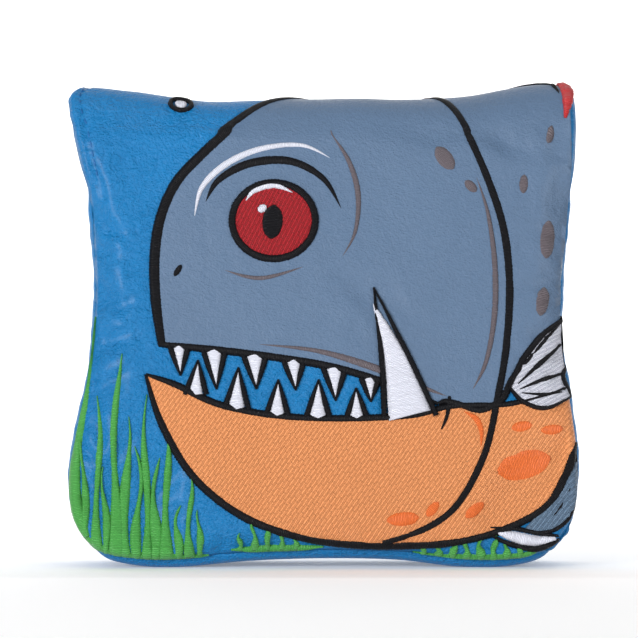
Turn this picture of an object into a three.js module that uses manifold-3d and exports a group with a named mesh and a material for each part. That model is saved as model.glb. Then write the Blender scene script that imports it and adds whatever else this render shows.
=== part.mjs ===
// A mallet putter head cover: a soft padded pouch of a front panel, a back panel and a gusset band
// between them. The front panel's leather folds over the top and comes down the back as a closure
// flap held by magnets. Millimetres, +Z up, the decorated front towards -Y, origin under the middle
// of the cover on the surface that it stands on.
//
// The pouch is drawn "flat", with its front and back panels upright, and every piece of it is then
// settled: the panels lean together towards the top.
import * as THREE from "three";
import { mergeVertices } from "three/addons/utils/BufferGeometryUtils.js";
import Module from "manifold-3d";

const wasm = await Module();
wasm.setup();

// ---- Driving dimensions ----

// The pouch's outline, seen from the front. Half widths are from the middle.
const LOBE_HALF = 70; // widest point of the two bottom lobes
const LOBE_Z = 27;
const WAIST_HALF = 64; // the sides draw in between the lobes and the top corners
const WAIST_Z = 72;
const SHOULDER_HALF = 69.6; // widest point near the top
const SHOULDER_Z = 115;
const BASE_RISE = 2.4; // the bottom edge lifts between the lobes
const FOOT_INNER = 27; // each lobe stands on a flat from here
const FOOT_OUTER = 48; // to here
const EDGE_ROUND = 6.4; // how the panels turn into the gusset

// The fold over the top, and the lean of the two panels below it.
const FOLD_Z = 128;
const FOLD_RADIUS = 10;
const FOLD_HALF = 66;
const FRONT_LEAN = THREE.MathUtils.degToRad(6.3);
const BACK_LEAN = THREE.MathUtils.degToRad(7.4);
const HINGE_GAP = 0.8; // between the front panel's top edge and the fold

// Heights at which the pouch's pieces end.
const GUSSET_TOP_Z = 112.5;
const MOUTH_Z = 109;

// Layers and clearances.
const LEATHER = 1;
const PADDING = 2.4;
const LINING = 1.2;
const FLAP_PADDING = 1.8;
const FLAP_LINING = 1;
const GAP = 0.3; // between layers, and between neighbours
const FLAP_CLEARANCE = 0.8; // between the flap's lining and the back panel
const SEAM_INSET = 2.3; // the panel seams lie this far behind the panels' faces

// Closure flap.
const FLAP_TIP_Z = 62;
const FLAP_TIP_HALF = 58;
const FLAP_WIDE_Z = 109; // it has widened to the whole fold by here
const FLAP_CORNER = 16;

// Hems, magnets and label.
const MOUTH_HEM_RADIUS = 1.4;
const MOUTH_HEM_HALF = 61;
const GUSSET_HEM_RADIUS = 1.2;
const MAGNET_RADIUS = 7;
const MAGNET_THICKNESS = 1.6;
const MAGNET_CLEARANCE = 0.5;
const MAGNET_X = 30;
const MAGNET_Z = 76;
const LABEL_WIDTH = 22;
const LABEL_HEIGHT = 12;
const LABEL_THICKNESS = 0.4;
const LABEL_Z = 92;

// Decoration.
const APPLIQUE = 0.8;
const THREAD = 0.5;
const STITCH_WIDTH = 1;
const STITCH_MARGIN = 4.5; // from the flap's edge to its row of stitches
const STITCH_START_Z = 122; // the row starts this high, clear of the crease

// Fineness.
const CURVE_STEPS = 5; // odd, so that no point falls on a symmetric curve's point of inflection
const ROUND_STEPS = 3;
const FOLD_STEPS = 10;
const DISC_SIDES = 24;
const HEM_SIDES = 10;

// ---- Sizes that follow from those ----

const FOLD_CENTRE_Z = FOLD_Z - FOLD_RADIUS;
const PADDING_FROM = LEATHER + GAP;
const PADDING_TO = PADDING_FROM + PADDING;
const LINING_FROM = PADDING_TO + GAP;
const LINING_TO = LINING_FROM + LINING;
const FLAP_PADDING_FROM = LEATHER + GAP;
const FLAP_PADDING_TO = FLAP_PADDING_FROM + FLAP_PADDING;
const FLAP_LINING_FROM = FLAP_PADDING_TO + GAP;
const FLAP_THICKNESS = FLAP_LINING_FROM + FLAP_LINING;
const FAR = 2 * LOBE_HALF + FOLD_Z; // past the cover in any direction

// The outer faces of the two panels: how deep they are at the height of the fold's centre, and at
// the base.
function panelFace(side, lean, inset) {
  const slope = Math.tan(lean);
  const depth = (FOLD_RADIUS - inset) / Math.cos(lean);
  return { side, lean, slope, reach: depth + slope * FOLD_CENTRE_Z };
}
const front = panelFace(-1, FRONT_LEAN, 0);
const back = panelFace(1, BACK_LEAN, FLAP_THICKNESS + FLAP_CLEARANCE);
const depthAt = (panel, z) => panel.reach - panel.slope * z;

// ---- Materials ----

const cloth = (color, roughness) => new THREE.MeshStandardMaterial({ color, roughness, metalness: 0 });
const skyLeather = cloth(0x1f84cc, 0.5);
const slateLeather = cloth(0x66798f, 0.5);
const plush = cloth(0x23282b, 0.95);
const padding = cloth(0xd8d4c6, 0.95);
const orangeThread = cloth(0xf09a5c, 0.6);
const redThread = cloth(0xc62430, 0.6);
const whiteThread = cloth(0xe9ecf4, 0.6);
const blackThread = cloth(0x1c1c1f, 0.6);
const greenThread = cloth(0x3f8a54, 0.6);
const steelThread = cloth(0x7d9bb5, 0.6);
const labelSatin = cloth(0xeeeeea, 0.5);
const magnetPlate = new THREE.MeshStandardMaterial({ color: 0xb9bcc0, roughness: 0.3, metalness: 1 });

// ---- Solids and meshes ----

// A closed geometry as a manifold solid.
function solid(geometry) {
  const bare = new THREE.BufferGeometry();
  bare.setAttribute("position", geometry.getAttribute("position"));
  bare.setIndex(geometry.index);
  const merged = mergeVertices(bare, 1e-4);
  const vertProperties = new Float32Array(merged.getAttribute("position").array);
  const triVerts = new Uint32Array(merged.index.array);
  return new wasm.Manifold(new wasm.Mesh({ numProp: 3, vertProperties, triVerts }));
}

// A solid as a geometry, each of its points passed through a change of place.
function geometryOf(made, change) {
  const mesh = made.getMesh();
  const positions = new Float32Array(mesh.numVert * 3);
  const at = new THREE.Vector3();
  for (let i = 0; i < mesh.numVert; i++) {
    at.fromArray(mesh.vertProperties, i * mesh.numProp);
    if (change) change(at);
    at.toArray(positions, i * 3);
  }
  const geometry = new THREE.BufferGeometry();
  geometry.setAttribute("position", new THREE.BufferAttribute(positions, 3));
  geometry.setIndex(new THREE.BufferAttribute(mesh.triVerts, 1));
  geometry.computeVertexNormals();
  return geometry;
}

function piece(name, geometry, material) {
  const mesh = new THREE.Mesh(geometry, material);
  mesh.name = name;
  return mesh;
}

// The lean of the panels. Between the rounded edges a point moves in proportion to its depth.
function settle(at) {
  const panel = at.y < 0 ? front : back;
  const share = Math.min(Math.abs(at.y) / (panel.reach - EDGE_ROUND), 1);
  at.y -= panel.side * share * panel.slope * at.z;
}

const settled = (name, made, material) => piece(name, geometryOf(made, settle), material);

// A prism along Y from a shape drawn on X and Z.
function prism(shape, fromY, toY) {
  const geometry = new THREE.ExtrudeGeometry(shape, {
    depth: toY - fromY,
    bevelEnabled: false,
    curveSegments: 2 * CURVE_STEPS,
  });
  geometry.rotateX(Math.PI / 2); // the shape's Y becomes Z, and its depth runs towards -Y
  geometry.translate(0, toY, 0);
  return solid(geometry);
}

// Everything between two heights and two depths.
function region(fromZ, toZ, fromY, toY) {
  const box = new THREE.BoxGeometry(FAR, toY - fromY, toZ - fromZ);
  box.translate(0, (fromY + toY) / 2, (fromZ + toZ) / 2);
  return solid(box);
}

// A right half of an outline, closed by its mirror image.
function mirrored(half) {
  const left = half.map((p) => new THREE.Vector2(-p.x, p.y)).reverse();
  return new THREE.Shape([...half, ...left].filter((p, i, all) => !i || !p.equals(all[i - 1])));
}

// ---- The pouch's nested walls, drawn flat ----

// The outline, drawn in by the rounding of the edges.
function coreOutline() {
  const r = EDGE_ROUND;
  const half = new THREE.Path();
  half.moveTo(0, BASE_RISE + r);
  half.quadraticCurveTo(FOOT_INNER / 2, BASE_RISE + r, FOOT_INNER, r);
  half.lineTo(FOOT_OUTER, r);
  const lobe = LOBE_HALF - r;
  half.bezierCurveTo((FOOT_OUTER + 2 * lobe) / 3, r, lobe, (r + LOBE_Z) / 2, lobe, LOBE_Z);
  const rise = (WAIST_Z - LOBE_Z) / 2;
  const waist = WAIST_HALF - r;
  half.bezierCurveTo(lobe, LOBE_Z + rise, waist, WAIST_Z - rise, waist, WAIST_Z);
  const shoulder = SHOULDER_HALF - r;
  const climb = (SHOULDER_Z - WAIST_Z) / 2;
  half.bezierCurveTo(waist, WAIST_Z + climb, shoulder, SHOULDER_Z - climb, shoulder, SHOULDER_Z);
  half.lineTo(shoulder, FOLD_Z + r);
  return mirrored(half.getPoints(CURVE_STEPS));
}

// The solid that lies a depth inside the pouch's outer surface, on all sides.
function nest(depth) {
  const core = front.reach + back.reach - 2 * EDGE_ROUND;
  const geometry = new THREE.ExtrudeGeometry(coreOutline(), {
    depth: core,
    bevelThickness: EDGE_ROUND - depth,
    bevelSize: EDGE_ROUND - depth,
    bevelSegments: ROUND_STEPS,
  });
  geometry.rotateX(Math.PI / 2);
  geometry.translate(0, back.reach - EDGE_ROUND, 0);
  return solid(geometry);
}

const wall = (from, to) => nest(from).subtract(nest(to));

// One wall of the pouch in its three pieces: front, gusset and back. The seams lie a depth behind
// the panels' outer faces.
function panels(from, to, seam) {
  const all = wall(from, to);
  const frontSeam = -(front.reach - seam);
  const backSeam = back.reach - seam;
  const base = -FAR;
  return {
    front: all.intersect(region(base, FOLD_CENTRE_Z, -FAR, frontSeam - GAP / 2)),
    gusset: all.intersect(region(base, GUSSET_TOP_Z, frontSeam + GAP / 2, backSeam - GAP / 2)),
    back: all.intersect(region(base, MOUTH_Z, backSeam + GAP / 2, FAR)),
  };
}

// ---- Magnets ----

const magnetSides = [["left", -MAGNET_X], ["right", MAGNET_X]];

// A disc that stands on edge, facing along Y.
function disc(radius, thickness) {
  return new THREE.CylinderGeometry(radius, radius, thickness, DISC_SIDES);
}

// A padding layer with a round hole through it for each magnet.
function withPockets(made) {
  let cut = made;
  for (const [, x] of magnetSides) {
    const hole = disc(MAGNET_RADIUS + MAGNET_CLEARANCE, FAR);
    hole.translate(x, FAR / 2, MAGNET_Z);
    cut = cut.subtract(solid(hole));
  }
  return cut;
}

// A pair of magnets that lie parallel to the back panel, a distance outside its face.
function magnets(prefix, outside) {
  return magnetSides.map(([side, x]) => {
    const magnet = piece(`${prefix}_${side}`, disc(MAGNET_RADIUS, MAGNET_THICKNESS), magnetPlate);
    magnet.rotation.x = BACK_LEAN;
    magnet.position.set(x, depthAt(back, MAGNET_Z) + outside / Math.cos(BACK_LEAN), MAGNET_Z);
    return magnet;
  });
}

// ---- The pouch ----

function pouchWalls() {
  const leather = panels(0, LEATHER, SEAM_INSET);
  const pad = panels(PADDING_FROM, PADDING_TO, EDGE_ROUND);
  const lining = panels(LINING_FROM, LINING_TO, EDGE_ROUND);
  return [
    settled("front_panel", leather.front, skyLeather),
    settled("front_padding", pad.front, padding),
    settled("front_lining", lining.front, plush),
    settled("gusset_band", leather.gusset, skyLeather),
    settled("gusset_padding", pad.gusset, padding),
    settled("gusset_lining", lining.gusset, plush),
    settled("back_panel", leather.back, skyLeather),
    settled("back_padding", withPockets(pad.back), padding),
    settled("back_lining", lining.back, plush),
  ];
}

// The rolled hem along the back panel's top edge.
function mouthHem() {
  const roll = new THREE.CylinderGeometry(
    MOUTH_HEM_RADIUS,
    MOUTH_HEM_RADIUS,
    2 * MOUTH_HEM_HALF,
    HEM_SIDES,
  );
  const hem = piece("mouth_hem", roll, skyLeather);
  hem.rotation.z = Math.PI / 2;
  hem.position.y = depthAt(back, MOUTH_Z) - LEATHER - MOUTH_HEM_RADIUS;
  hem.position.z = MOUTH_Z + GAP + MOUTH_HEM_RADIUS;
  return hem;
}

// The rolled hems on the gusset's two top ends.
function gussetHems() {
  const z = GUSSET_TOP_Z + GAP + GUSSET_HEM_RADIUS;
  const fromY = -(depthAt(front, z) - EDGE_ROUND - GAP);
  const toY = depthAt(back, z) - SEAM_INSET - GAP;
  return [["left", -1], ["right", 1]].map(([side, sign]) => {
    const roll = new THREE.CylinderGeometry(GUSSET_HEM_RADIUS, GUSSET_HEM_RADIUS, toY - fromY, HEM_SIDES);
    const hem = piece(`gusset_hem_${side}`, roll, skyLeather);
    hem.position.set(sign * (SHOULDER_HALF - GUSSET_HEM_RADIUS - GAP), (fromY + toY) / 2, z);
    return hem;
  });
}

// A blank label against the back panel's lining.
function careLabel() {
  const label = new THREE.BoxGeometry(LABEL_WIDTH, LABEL_THICKNESS, LABEL_HEIGHT);
  const mesh = piece("care_label", label, labelSatin);
  mesh.rotation.x = BACK_LEAN;
  const inside = (LINING_TO + 2 * GAP + LABEL_THICKNESS / 2) / Math.cos(BACK_LEAN);
  mesh.position.set(0, depthAt(back, LABEL_Z) - inside, LABEL_Z);
  return mesh;
}

// ---- Decoration on the front: a plain toothy fish seen from the side ----

// The slate leather upper body: snout on the left, mouth line below.
function bodyShape() {
  const shape = new THREE.Shape();
  shape.moveTo(-46, 64);
  shape.bezierCurveTo(-50, 84, -40, 104, -22, 110);
  shape.bezierCurveTo(0, 114, 30, 113, 56, 110);
  shape.bezierCurveTo(57, 95, 56, 80, 55, 66);
  shape.bezierCurveTo(48, 58, 36, 56, 24, 55);
  shape.bezierCurveTo(0, 52, -24, 57, -46, 64);
  return shape;
}

// The orange embroidered lower jaw and belly.
function bellyShape() {
  const shape = new THREE.Shape();
  shape.moveTo(-47, 49);
  shape.bezierCurveTo(-26, 40, 4, 38, 28, 40);
  shape.bezierCurveTo(38, 42, 48, 44, 57, 48);
  shape.bezierCurveTo(62, 38, 60, 26, 54, 17);
  shape.bezierCurveTo(40, 8, 10, 8, -8, 13);
  shape.bezierCurveTo(-26, 19, -40, 32, -47, 49);
  return shape;
}

// A row of pointed teeth along a gum line. sign is -1 when they hang and 1 when they stand.
function teethShape(from, to, thickness, lengths, sign) {
  const shape = new THREE.Shape();
  shape.moveTo(from.x, from.y);
  const at = (share) => from.clone().lerp(to, share);
  lengths.forEach((length, i) => {
    const start = at((i + 0.08) / lengths.length);
    const tip = at((i + 0.5) / lengths.length);
    const end = at((i + 0.92) / lengths.length);
    shape.lineTo(start.x, start.y);
    shape.lineTo(tip.x, tip.y + sign * length);
    shape.lineTo(end.x, end.y);
  });
  shape.lineTo(to.x, to.y);
  shape.lineTo(to.x, to.y - sign * thickness);
  shape.lineTo(from.x, from.y - sign * thickness);
  return shape;
}

function eyeShape() {
  const shape = new THREE.Shape();
  shape.absellipse(-16, 88, 11, 8.5, 0, 2 * Math.PI, false, 0.2);
  return shape;
}

// A curved stripe between two arcs.
function gillShape() {
  const shape = new THREE.Shape();
  shape.moveTo(30, 108);
  shape.bezierCurveTo(46, 92, 50, 74, 46, 60);
  shape.lineTo(48.5, 60);
  shape.bezierCurveTo(53, 76, 49, 94, 33, 108);
  return shape;
}

// The side fin, which spreads from its root towards the edge.
function finShape() {
  const shape = new THREE.Shape();
  shape.moveTo(50.5, 49);
  shape.quadraticCurveTo(52, 58, 60, 67);
  shape.quadraticCurveTo(58, 60, 61, 56);
  shape.quadraticCurveTo(57, 53, 60, 47);
  shape.quadraticCurveTo(55, 50, 50.5, 49);
  return shape;
}

// A clump of tapering fronds, drawn as one outline.
function seaweedShape(x, z, spread, heights) {
  const shape = new THREE.Shape();
  const step = spread / heights.length;
  shape.moveTo(x, z);
  heights.forEach((height, i) => {
    const root = x + i * step;
    shape.lineTo(root + step * 0.2, z + height * 0.6);
    shape.lineTo(root + step * 0.5, z + height);
    shape.lineTo(root + step * 0.8, z + height * 0.6);
    shape.lineTo(root + step, z + 3);
  });
  shape.lineTo(x + spread, z);
  return shape;
}

// A flat patch on the front panel, between two heights above the leather.
function frontPatch(name, shape, lift, thickness, material) {
  const made = prism(shape, -(front.reach + lift + thickness), -(front.reach + lift));
  return settled(name, made, material);
}

function decoration() {
  const upperGum = [new THREE.Vector2(-42, 54), new THREE.Vector2(20, 50)];
  const lowerGum = [new THREE.Vector2(-40, 40), new THREE.Vector2(14, 38)];
  const overPatch = GAP + APPLIQUE + GAP;
  return [
    frontPatch("body_applique", bodyShape(), GAP, APPLIQUE, slateLeather),
    frontPatch("belly_embroidery", bellyShape(), GAP, APPLIQUE, orangeThread),
    frontPatch("eye_embroidery", eyeShape(), overPatch, THREAD, redThread),
    frontPatch("gill_embroidery", gillShape(), overPatch, THREAD, blackThread),
    frontPatch(
      "upper_teeth_embroidery",
      teethShape(...upperGum, 3, [7, 8, 7, 9, 6, 8], -1),
      overPatch,
      THREAD,
      whiteThread,
    ),
    frontPatch(
      "lower_teeth_embroidery",
      teethShape(...lowerGum, 2, [4, 3, 5, 3, 4], 1),
      overPatch,
      THREAD,
      whiteThread,
    ),
    frontPatch("side_fin_embroidery", finShape(), overPatch, THREAD, steelThread),
    frontPatch(
      "seaweed_embroidery",
      seaweedShape(-61, 12, 17, [34, 46, 26]),
      GAP,
      APPLIQUE,
      greenThread,
    ),
  ];
}

// ---- The fold and the closure flap ----

// The section of the fold at a depth inside its outer surface: from the crease at the top of the
// front panel, over the top and down the back. X runs from front to back, and Y is the height.
function foldLine(depth) {
  const radius = FOLD_RADIUS - depth;
  const points = [];
  for (let i = 0; i <= FOLD_STEPS; i++) {
    const angle = THREE.MathUtils.lerp(Math.PI - FRONT_LEAN, BACK_LEAN, i / FOLD_STEPS);
    points.push(new THREE.Vector2(radius * Math.cos(angle), FOLD_CENTRE_Z + radius * Math.sin(angle)));
  }
  const end = points[points.length - 1];
  const drop = end.y - (FLAP_TIP_Z - FLAP_CORNER);
  points.push(new THREE.Vector2(end.x + drop * Math.tan(BACK_LEAN), end.y - drop));
  return points;
}

// One layer of the fold and flap, of any width.
function foldLayer(from, to) {
  const section = new THREE.Shape([...foldLine(from), ...foldLine(to).reverse()]);
  const geometry = new THREE.ExtrudeGeometry(section, { depth: FAR, bevelEnabled: false });
  geometry.translate(0, 0, -FAR / 2);
  const lying = solid(geometry);
  return solid(geometryOf(lying, (at) => at.set(at.z, at.x, at.y)));
}

// The outline of fold and flap, a margin in from the edge.
function flapOutline(margin) {
  const half = new THREE.Path();
  const tip = FLAP_TIP_HALF - margin;
  half.moveTo(0, FLAP_TIP_Z + margin);
  half.lineTo(tip - FLAP_CORNER, FLAP_TIP_Z + margin);
  half.quadraticCurveTo(tip, FLAP_TIP_Z + margin, tip + 1, FLAP_TIP_Z + margin + FLAP_CORNER);
  const wide = FOLD_HALF - margin;
  half.bezierCurveTo(tip + 4, FLAP_WIDE_Z - FLAP_CORNER, wide, FLAP_WIDE_Z, wide, FOLD_Z);
  half.lineTo(wide, FOLD_Z + FOLD_RADIUS);
  return mirrored(half.getPoints(2 * CURVE_STEPS));
}

// The red fan of coral on the flap.
function coralShape() {
  const shape = new THREE.Shape();
  shape.moveTo(34, 84);
  shape.quadraticCurveTo(30, 96, 36, 108);
  shape.lineTo(42, 102);
  shape.lineTo(47, 111);
  shape.lineTo(51, 102);
  shape.lineTo(57, 109);
  shape.quadraticCurveTo(58, 94, 50, 84);
  return shape;
}

function flapPieces() {
  const all = prism(flapOutline(0), -FAR, FAR);
  const stitchOuter = prism(flapOutline(STITCH_MARGIN), -FAR, FAR);
  const stitchInner = prism(flapOutline(STITCH_MARGIN + STITCH_WIDTH), -FAR, FAR);
  const proud = foldLayer(-(GAP + THREAD), -GAP);
  const stitchPath = region(STITCH_START_Z, FAR, -FAR, 0).add(region(-FAR, FAR, 0, FAR));
  const stitches = proud.intersect(stitchOuter.subtract(stitchInner)).intersect(stitchPath);
  const pad = withPockets(foldLayer(FLAP_PADDING_FROM, FLAP_PADDING_TO).intersect(all));
  const plain = (name, made, material) => piece(name, geometryOf(made), material);
  return [
    plain("flap_panel", foldLayer(0, LEATHER).intersect(all), skyLeather),
    plain("flap_padding", pad, padding),
    plain("flap_lining", foldLayer(FLAP_LINING_FROM, FLAP_THICKNESS).intersect(all), plush),
    plain("flap_topstitch", stitches, blackThread),
    plain("flap_coral_embroidery", proud.intersect(prism(coralShape(), 0, FAR)), redThread),
  ];
}

// ---- The cover ----

const pouch = new THREE.Group();
pouch.add(...pouchWalls(), mouthHem(), ...gussetHems(), careLabel(), ...decoration());
pouch.add(...magnets("back_magnet", -(PADDING_FROM + PADDING_TO) / 2));

const flap = new THREE.Group();
flap.add(...flapPieces());
flap.add(...magnets("flap_magnet", FLAP_CLEARANCE + FLAP_LINING + GAP + FLAP_PADDING / 2));

const cover = new THREE.Group();
cover.add(pouch, flap);
const extent = new THREE.Box3().setFromObject(cover);
cover.position.y = -(extent.min.y + extent.max.y) / 2;

export default cover;
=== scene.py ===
import math
import bmesh
import bpy
from mathutils import Matrix, Vector, noise


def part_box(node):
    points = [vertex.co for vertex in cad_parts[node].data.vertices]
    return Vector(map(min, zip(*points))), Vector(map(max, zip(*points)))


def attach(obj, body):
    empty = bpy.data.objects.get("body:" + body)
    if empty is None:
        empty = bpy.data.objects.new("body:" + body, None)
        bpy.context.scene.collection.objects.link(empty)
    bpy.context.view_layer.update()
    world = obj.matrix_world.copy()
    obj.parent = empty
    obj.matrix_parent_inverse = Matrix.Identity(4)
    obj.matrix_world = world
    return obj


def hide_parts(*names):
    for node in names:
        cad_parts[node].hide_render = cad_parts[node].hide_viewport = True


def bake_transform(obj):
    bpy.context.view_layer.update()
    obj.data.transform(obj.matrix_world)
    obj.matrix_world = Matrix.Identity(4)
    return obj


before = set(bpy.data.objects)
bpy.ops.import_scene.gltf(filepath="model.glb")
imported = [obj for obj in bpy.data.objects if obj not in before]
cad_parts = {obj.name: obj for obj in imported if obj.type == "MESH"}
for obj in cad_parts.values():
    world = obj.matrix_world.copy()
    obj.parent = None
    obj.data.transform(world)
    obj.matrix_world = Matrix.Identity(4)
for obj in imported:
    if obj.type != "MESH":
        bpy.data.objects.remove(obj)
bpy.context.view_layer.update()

mm = 0.001

# planes and heights of the frame, in millimetres
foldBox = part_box("flap_panel")
cover = {
    "foldRadius": 10.0,
    "frontLean": math.tan(math.radians(6.3)),
    "backLean": math.tan(math.radians(7.4)),
    "flapDepth": 5.2,  # flap and its clearance, outside the back panel
    "creaseZ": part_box("front_panel")[1][2] / mm,
    "gussetZ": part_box("gusset_band")[1][2] / mm,
    "mouthZ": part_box("back_panel")[1][2] / mm,
    "tipZ": foldBox[0][2] / mm,
}
foldZ = cover["creaseZ"]
foldY = foldBox[0][1] / mm + cover["foldRadius"] * math.cos(math.atan(cover["frontLean"]))
foldLength = math.pi * cover["foldRadius"]


def frontY(z):
    lean = cover["frontLean"]
    return foldY - cover["foldRadius"] * math.hypot(1, lean) - lean * (foldZ - z)


def flapY(z):
    lean = cover["backLean"]
    return foldY + cover["foldRadius"] * math.hypot(1, lean) + lean * (foldZ - z)


def backY(z):
    return flapY(z) - cover["flapDepth"] * math.hypot(1, cover["backLean"])


def ease(value, low, high):
    t = min(max((value - low) / (high - low), 0.0), 1.0)
    return t * t * (3 - 2 * t)


def routeOf(points, closed=False, steps=12):
    points = [Vector(p) for p in points]
    n = len(points)
    dense = []
    for i in range(n if closed else n - 1):
        near = [points[(i + k) % n] if closed else points[min(max(i + k, 0), n - 1)] for k in (-1, 0, 1, 2)]
        a, b, c, d = near
        for k in range(steps):
            t = k / steps
            dense.append(
                0.5 * (2 * b + (c - a) * t + (2 * a - 5 * b + 4 * c - d) * t * t + (3 * b - a - 3 * c + d) * t ** 3)
            )
    dense.append(dense[0].copy() if closed else points[-1].copy())
    return dense


class Route:
    def __init__(self, points, closed=False):
        self.points = routeOf(points, closed)
        self.reach = [0.0]
        for a, b in zip(self.points, self.points[1:]):
            self.reach.append(self.reach[-1] + (Vector(b[:2]) - Vector(a[:2])).length)
        self.length = self.reach[-1]

    def at(self, share):
        want = min(max(share, 0.0), 1.0) * self.length
        low, high = 0, len(self.reach) - 1
        while high - low > 1:
            mid = (low + high) // 2
            if self.reach[mid] <= want:
                low = mid
            else:
                high = mid
        span = self.reach[high] - self.reach[low] or 1.0
        return self.points[low].lerp(self.points[high], (want - self.reach[low]) / span)

    def side(self, share):
        step = 0.5 / max(self.length, 1.0)
        along = self.at(share + step) - self.at(share - step)
        along = Vector(along[:2]).normalized()
        return Vector((-along.y, along.x))


# the cover seen from the front: X and height of each side, and of the base
leftSide = Route([(-63.5, 6.2), (-68.4, 13.5), (-69.8, 24), (-68.6, 34), (-65.4, 50), (-63.6, 64), (-63.3, 80),
                  (-64.8, 100), (-66.8, 110), (-68.6, foldZ)])
rightSide = Route([(63.2, 6.2), (68.2, 14), (69.8, 30), (68.0, 46), (65.6, 60), (65.8, 76), (67.2, 90),
                   (68.4, 103), (69.0, 111), (69.3, foldZ)])
baseLine = Route([(-63.5, 6.2), (-58.5, 2.2), (-49, 0.3), (-38, 0.1), (-20, 1.7), (0, 2.4), (20, 2.0), (36, 0.2),
                  (49, 0.2), (58.5, 2.2), (63.2, 6.2)])


def patchPoint(s, t, base, left, right, top):
    low, high = base.at(s), top(s)
    a, b = left.at(t), right.at(t)
    c00, c10 = base.at(0), base.at(1)
    c01, c11 = top(0), top(1)
    corners = c00 * ((1 - s) * (1 - t)) + c10 * (s * (1 - t)) + c01 * ((1 - s) * t) + c11 * (s * t)
    return low * (1 - t) + high * t + a * (1 - s) + b * s - corners


# half the width of the fold, from the front crease to the flap, on the left and on the right
foldStops = {
    -1: [(0.0, 68.3), (0.16, 69.4), (0.3, 69.9), (0.5, 67.8), (0.75, 65.8), (1.0, 65.0)],
    1: [(0.0, 69.0), (0.16, 68.9), (0.3, 68.7), (0.5, 66.8), (0.75, 65.5), (1.0, 65.0)],
}
ear = {"rise": 3.9, "begins": 0.42, "full": 0.97, "sink": 0.7}


def foldHalf(side, share):
    stops = foldStops[side]
    for (a, low), (b, high) in zip(stops, stops[1:]):
        if share <= b:
            return low + (high - low) * ease(share, a, b)
    return stops[-1][1]


# how much the fold stands up towards its two ends
def earRise(s, share):
    lift = ear["rise"] * ease(abs(2 * s - 1), ear["begins"], ear["full"]) - ear["sink"]
    return lift * math.sin(math.pi * share)


flapLeft = Route([(-61.5, 79), (-62.4, 92), (-63.8, 105), (-65, foldZ)])
flapRight = Route([(61.5, 79), (62.4, 92), (63.8, 105), (65, foldZ)])
tipLine = Route([(-61.5, 79), (-60, 70), (-55, 64.5), (-46, 62), (0, 61.4), (46, 62), (55, 64.5), (60, 70),
                 (61.5, 79)])
flapLength = foldZ - cover["tipZ"]
skinLength = foldZ + foldLength + flapLength
# the panels' widths and heights, for distances from their edges
span = {"front": 137, "frontUp": 115, "fold": 134, "flap": 124, "backUp": 107}

skin = {
    "sideInset": 0.010,     # share of the width that the gusset shows beyond the seam
    "baseInset": 0.027,
    "seamDepth": 4.6,       # how far the panel turns back to its seam
    "seamDepthTop": 1.4,
    "roundOver": 10.0,
    "puff": 1.5,
    "edgeRound": 2.2,
    "stitchIn": 3.2,
    "stitchValley": 0.5,
    "pucker": 0.2,
    "puckerPitch": 3.1,
    "thickness": 1.1,
}


def seamDepth(z):
    return skin["seamDepth"] + (skin["seamDepthTop"] - skin["seamDepth"]) * ease(z, 92, 110)


# soft creases: X, L, the way they run, length, width and depth in millimetres
creases = [
    (-60, 92, -0.5, 22, 2.6, 0.5), (-58, 84, -0.35, 20, 2.2, 0.4), (-61, 72, 0.1, 18, 2.4, 0.45),
    (-57, 60, 0.45, 24, 2.6, 0.5), (-60, 46, 0.7, 26, 3.0, 0.6), (-52, 34, 1.0, 26, 2.6, 0.5),
    (-42, 22, 0.8, 24, 2.8, 0.55), (-30, 12, 0.35, 22, 2.2, 0.4), (-63, 28, 1.2, 22, 2.4, 0.5),
    (60, 92, 0.5, 20, 2.4, 0.4), (62, 76, 0.1, 18, 2.2, 0.35), (60, 62, -0.4, 18, 2.4, 0.35),
    (-50, 112, 0.1, 26, 3.0, 0.35), (52, 113, -0.1, 24, 3.0, 0.35), (0, 114, 0.0, 60, 3.4, 0.25),
]
creaseWays = [(x, l, math.cos(w), math.sin(w), long / 2, wide, deep) for x, l, w, long, wide, deep in creases]


def wrinkle(x, l):
    total = 0.5 * noise.noise(Vector((x / 23, l / 31, 3.1))) + 0.09 * noise.noise(Vector((x / 4.1, l / 5.3, 1.7)))
    ridge = 1 - abs(noise.noise(Vector(((x + 0.35 * l) / 9.5, (l - 0.5 * x) / 30, 7.7)))) * 3.2
    total -= (0.1 + 0.3 * ease(abs(x), 34, 66)) * max(ridge, 0.0) ** 2
    for cx, cl, c, s, half, wide, deep in creaseWays:
        dx, dl = x - cx, l - cl
        if abs(dx) > 18 or abs(dl) > 18:
            continue
        on = (dx * c + dl * s) / half
        off = (dl * c - dx * s + 1.2 * on * on) / wide
        total -= deep * math.exp(-2.2 * on * on) * (math.exp(-off * off) - 0.55 * math.exp(-((off - 1.7) / 1.2) ** 2))
    return total


def seamPucker(distance, along, seed):
    fade = math.exp(-distance / 5.5)
    wave = math.sin(along / 1.05 + 2.2 * noise.noise(Vector((along / 9, seed, 0))))
    return 0.28 * fade * wave * (0.6 + 0.4 * noise.noise(Vector((along / 5, seed, 5))))


def flatFront(s, t):
    inset = skin["sideInset"] * (1 - 0.8 * ease(t * foldZ, 96, 112))
    s = inset + (1 - 2 * inset) * s
    t = skin["baseInset"] + (1 - skin["baseInset"]) * t
    top = lambda share: Vector((-68.6 + (68.6 + 69.3) * share, foldZ))
    return patchPoint(s, t, baseLine, leftSide, rightSide, top)


def stitchedEdge(distance, along):
    valley = math.exp(-((distance - skin["stitchIn"]) / 0.85) ** 2)
    scallop = math.sin(2 * math.pi * along / skin["puckerPitch"])
    wide = math.exp(-((distance - skin["stitchIn"]) / 2.6) ** 2)
    return -skin["stitchValley"] * valley + skin["pucker"] * wide * scallop


def edgeDrop(distance, reach, depth):
    if distance >= reach:
        return 0.0
    w = 1 - distance / reach
    return depth * (1 - math.sqrt(max(1 - w * w, 0.0)))


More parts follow.
